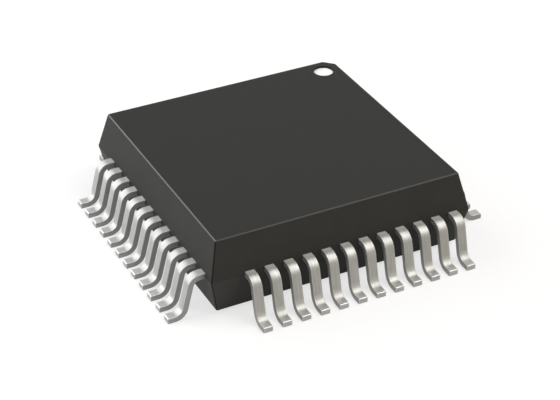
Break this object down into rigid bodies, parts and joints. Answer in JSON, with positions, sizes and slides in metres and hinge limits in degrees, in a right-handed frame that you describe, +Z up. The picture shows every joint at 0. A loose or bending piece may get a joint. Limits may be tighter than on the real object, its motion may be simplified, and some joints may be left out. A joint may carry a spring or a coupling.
{
  "type": "quad flat pack chip",
  "caption": "Square black moulded chip package with gull-wing leads on all four sides and a white pin-one dot in a cut corner.",
  "frame": {"origin": "middle of the seating plane, under the middle of the package", "axes": "+Z up, out of the top face; the pin-one corner is at -X and +Y, and leads are numbered anticlockwise seen from above"},
  "size_m": [0.0088, 0.0088, 0.0021],
  "materials": {
    "moulding": "black epoxy mould compound, fine matte",
    "lead_plating": "matte tin plating over copper alloy",
    "white_ink": "matte white marking ink",
    "paddle": "bare copper alloy",
    "adhesive": "silver-filled epoxy",
    "silicon": "polished silicon",
    "gold_wire": "bright gold"
  },
  "bodies": {
    "root": {"moulded_body": "moulding", "pin_one_dot": "white_ink", "die_paddle": "paddle", "die_attach": "adhesive", "silicon_die": "silicon", "lead_01": "lead_plating", "lead_02": "lead_plating", "lead_03": "lead_plating", "lead_04": "lead_plating", "lead_05": "lead_plating", "lead_06": "lead_plating", "lead_07": "lead_plating", "lead_08": "lead_plating", "lead_09": "lead_plating", "lead_10": "lead_plating", "lead_11": "lead_plating", "lead_12": "lead_plating", "lead_13": "lead_plating", "lead_14": "lead_plating", "lead_15": "lead_plating", "lead_16": "lead_plating", "lead_17": "lead_plating", "lead_18": "lead_plating", "lead_19": "lead_plating", "lead_20": "lead_plating", "lead_21": "lead_plating", "lead_22": "lead_plating", "lead_23": "lead_plating", "lead_24": "lead_plating", "lead_25": "lead_plating", "lead_26": "lead_plating", "lead_27": "lead_plating", "lead_28": "lead_plating", "lead_29": "lead_plating", "lead_30": "lead_plating", "lead_31": "lead_plating", "lead_32": "lead_plating", "lead_33": "lead_plating", "lead_34": "lead_plating", "lead_35": "lead_plating", "lead_36": "lead_plating", "lead_37": "lead_plating", "lead_38": "lead_plating", "lead_39": "lead_plating", "lead_40": "lead_plating", "lead_41": "lead_plating", "lead_42": "lead_plating", "lead_43": "lead_plating", "lead_44": "lead_plating", "lead_45": "lead_plating", "lead_46": "lead_plating", "lead_47": "lead_plating", "lead_48": "lead_plating", "bond_wires_01_12": "gold_wire", "bond_wires_13_24": "gold_wire", "bond_wires_25_36": "gold_wire", "bond_wires_37_48": "gold_wire"}
  },
  "joints": []
}
